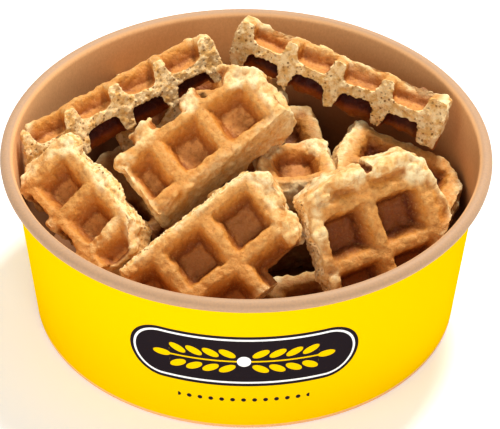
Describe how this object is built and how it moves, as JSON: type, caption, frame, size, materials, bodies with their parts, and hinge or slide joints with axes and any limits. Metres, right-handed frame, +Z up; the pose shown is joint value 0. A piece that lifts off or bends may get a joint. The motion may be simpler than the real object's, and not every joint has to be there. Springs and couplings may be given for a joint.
{
  "type": "paper bowl filled with waffle pieces",
  "caption": "Round kraft paper bowl with a rolled rim and a yellow printed outside, heaped with thick baked waffle pieces.",
  "frame": {"origin": "middle of the bowl's foot, on the surface that it stands on", "axes": "+Z up; -Y is the front of the bowl, towards the picture's camera; +X to the right"},
  "size_m": [0.1838, 0.1838, 0.0983],
  "materials": {
    "printed_paper": "satin coated paper, yellow print outside and bare kraft inside",
    "kraft_paper": "bare kraft paper",
    "baked_waffle": "baked golden brown crust over porous crumb"
  },
  "bodies": {
    "root": {"bowl_wall": "printed_paper", "bowl_base": "kraft_paper", "waffle_stick_back_left": "baked_waffle", "waffle_stick_back_right": "baked_waffle", "waffle_chunk_middle": "baked_waffle", "waffle_chunk_left": "baked_waffle", "waffle_chunk_front": "baked_waffle", "waffle_chunk_right": "baked_waffle", "waffle_corner_centre": "baked_waffle", "waffle_chunk_right_back": "baked_waffle", "waffle_low_left_back": "baked_waffle", "waffle_low_left_front": "baked_waffle", "waffle_low_right_back": "baked_waffle", "waffle_low_right_front": "baked_waffle", "waffle_low_back": "baked_waffle"}
  },
  "joints": []
}
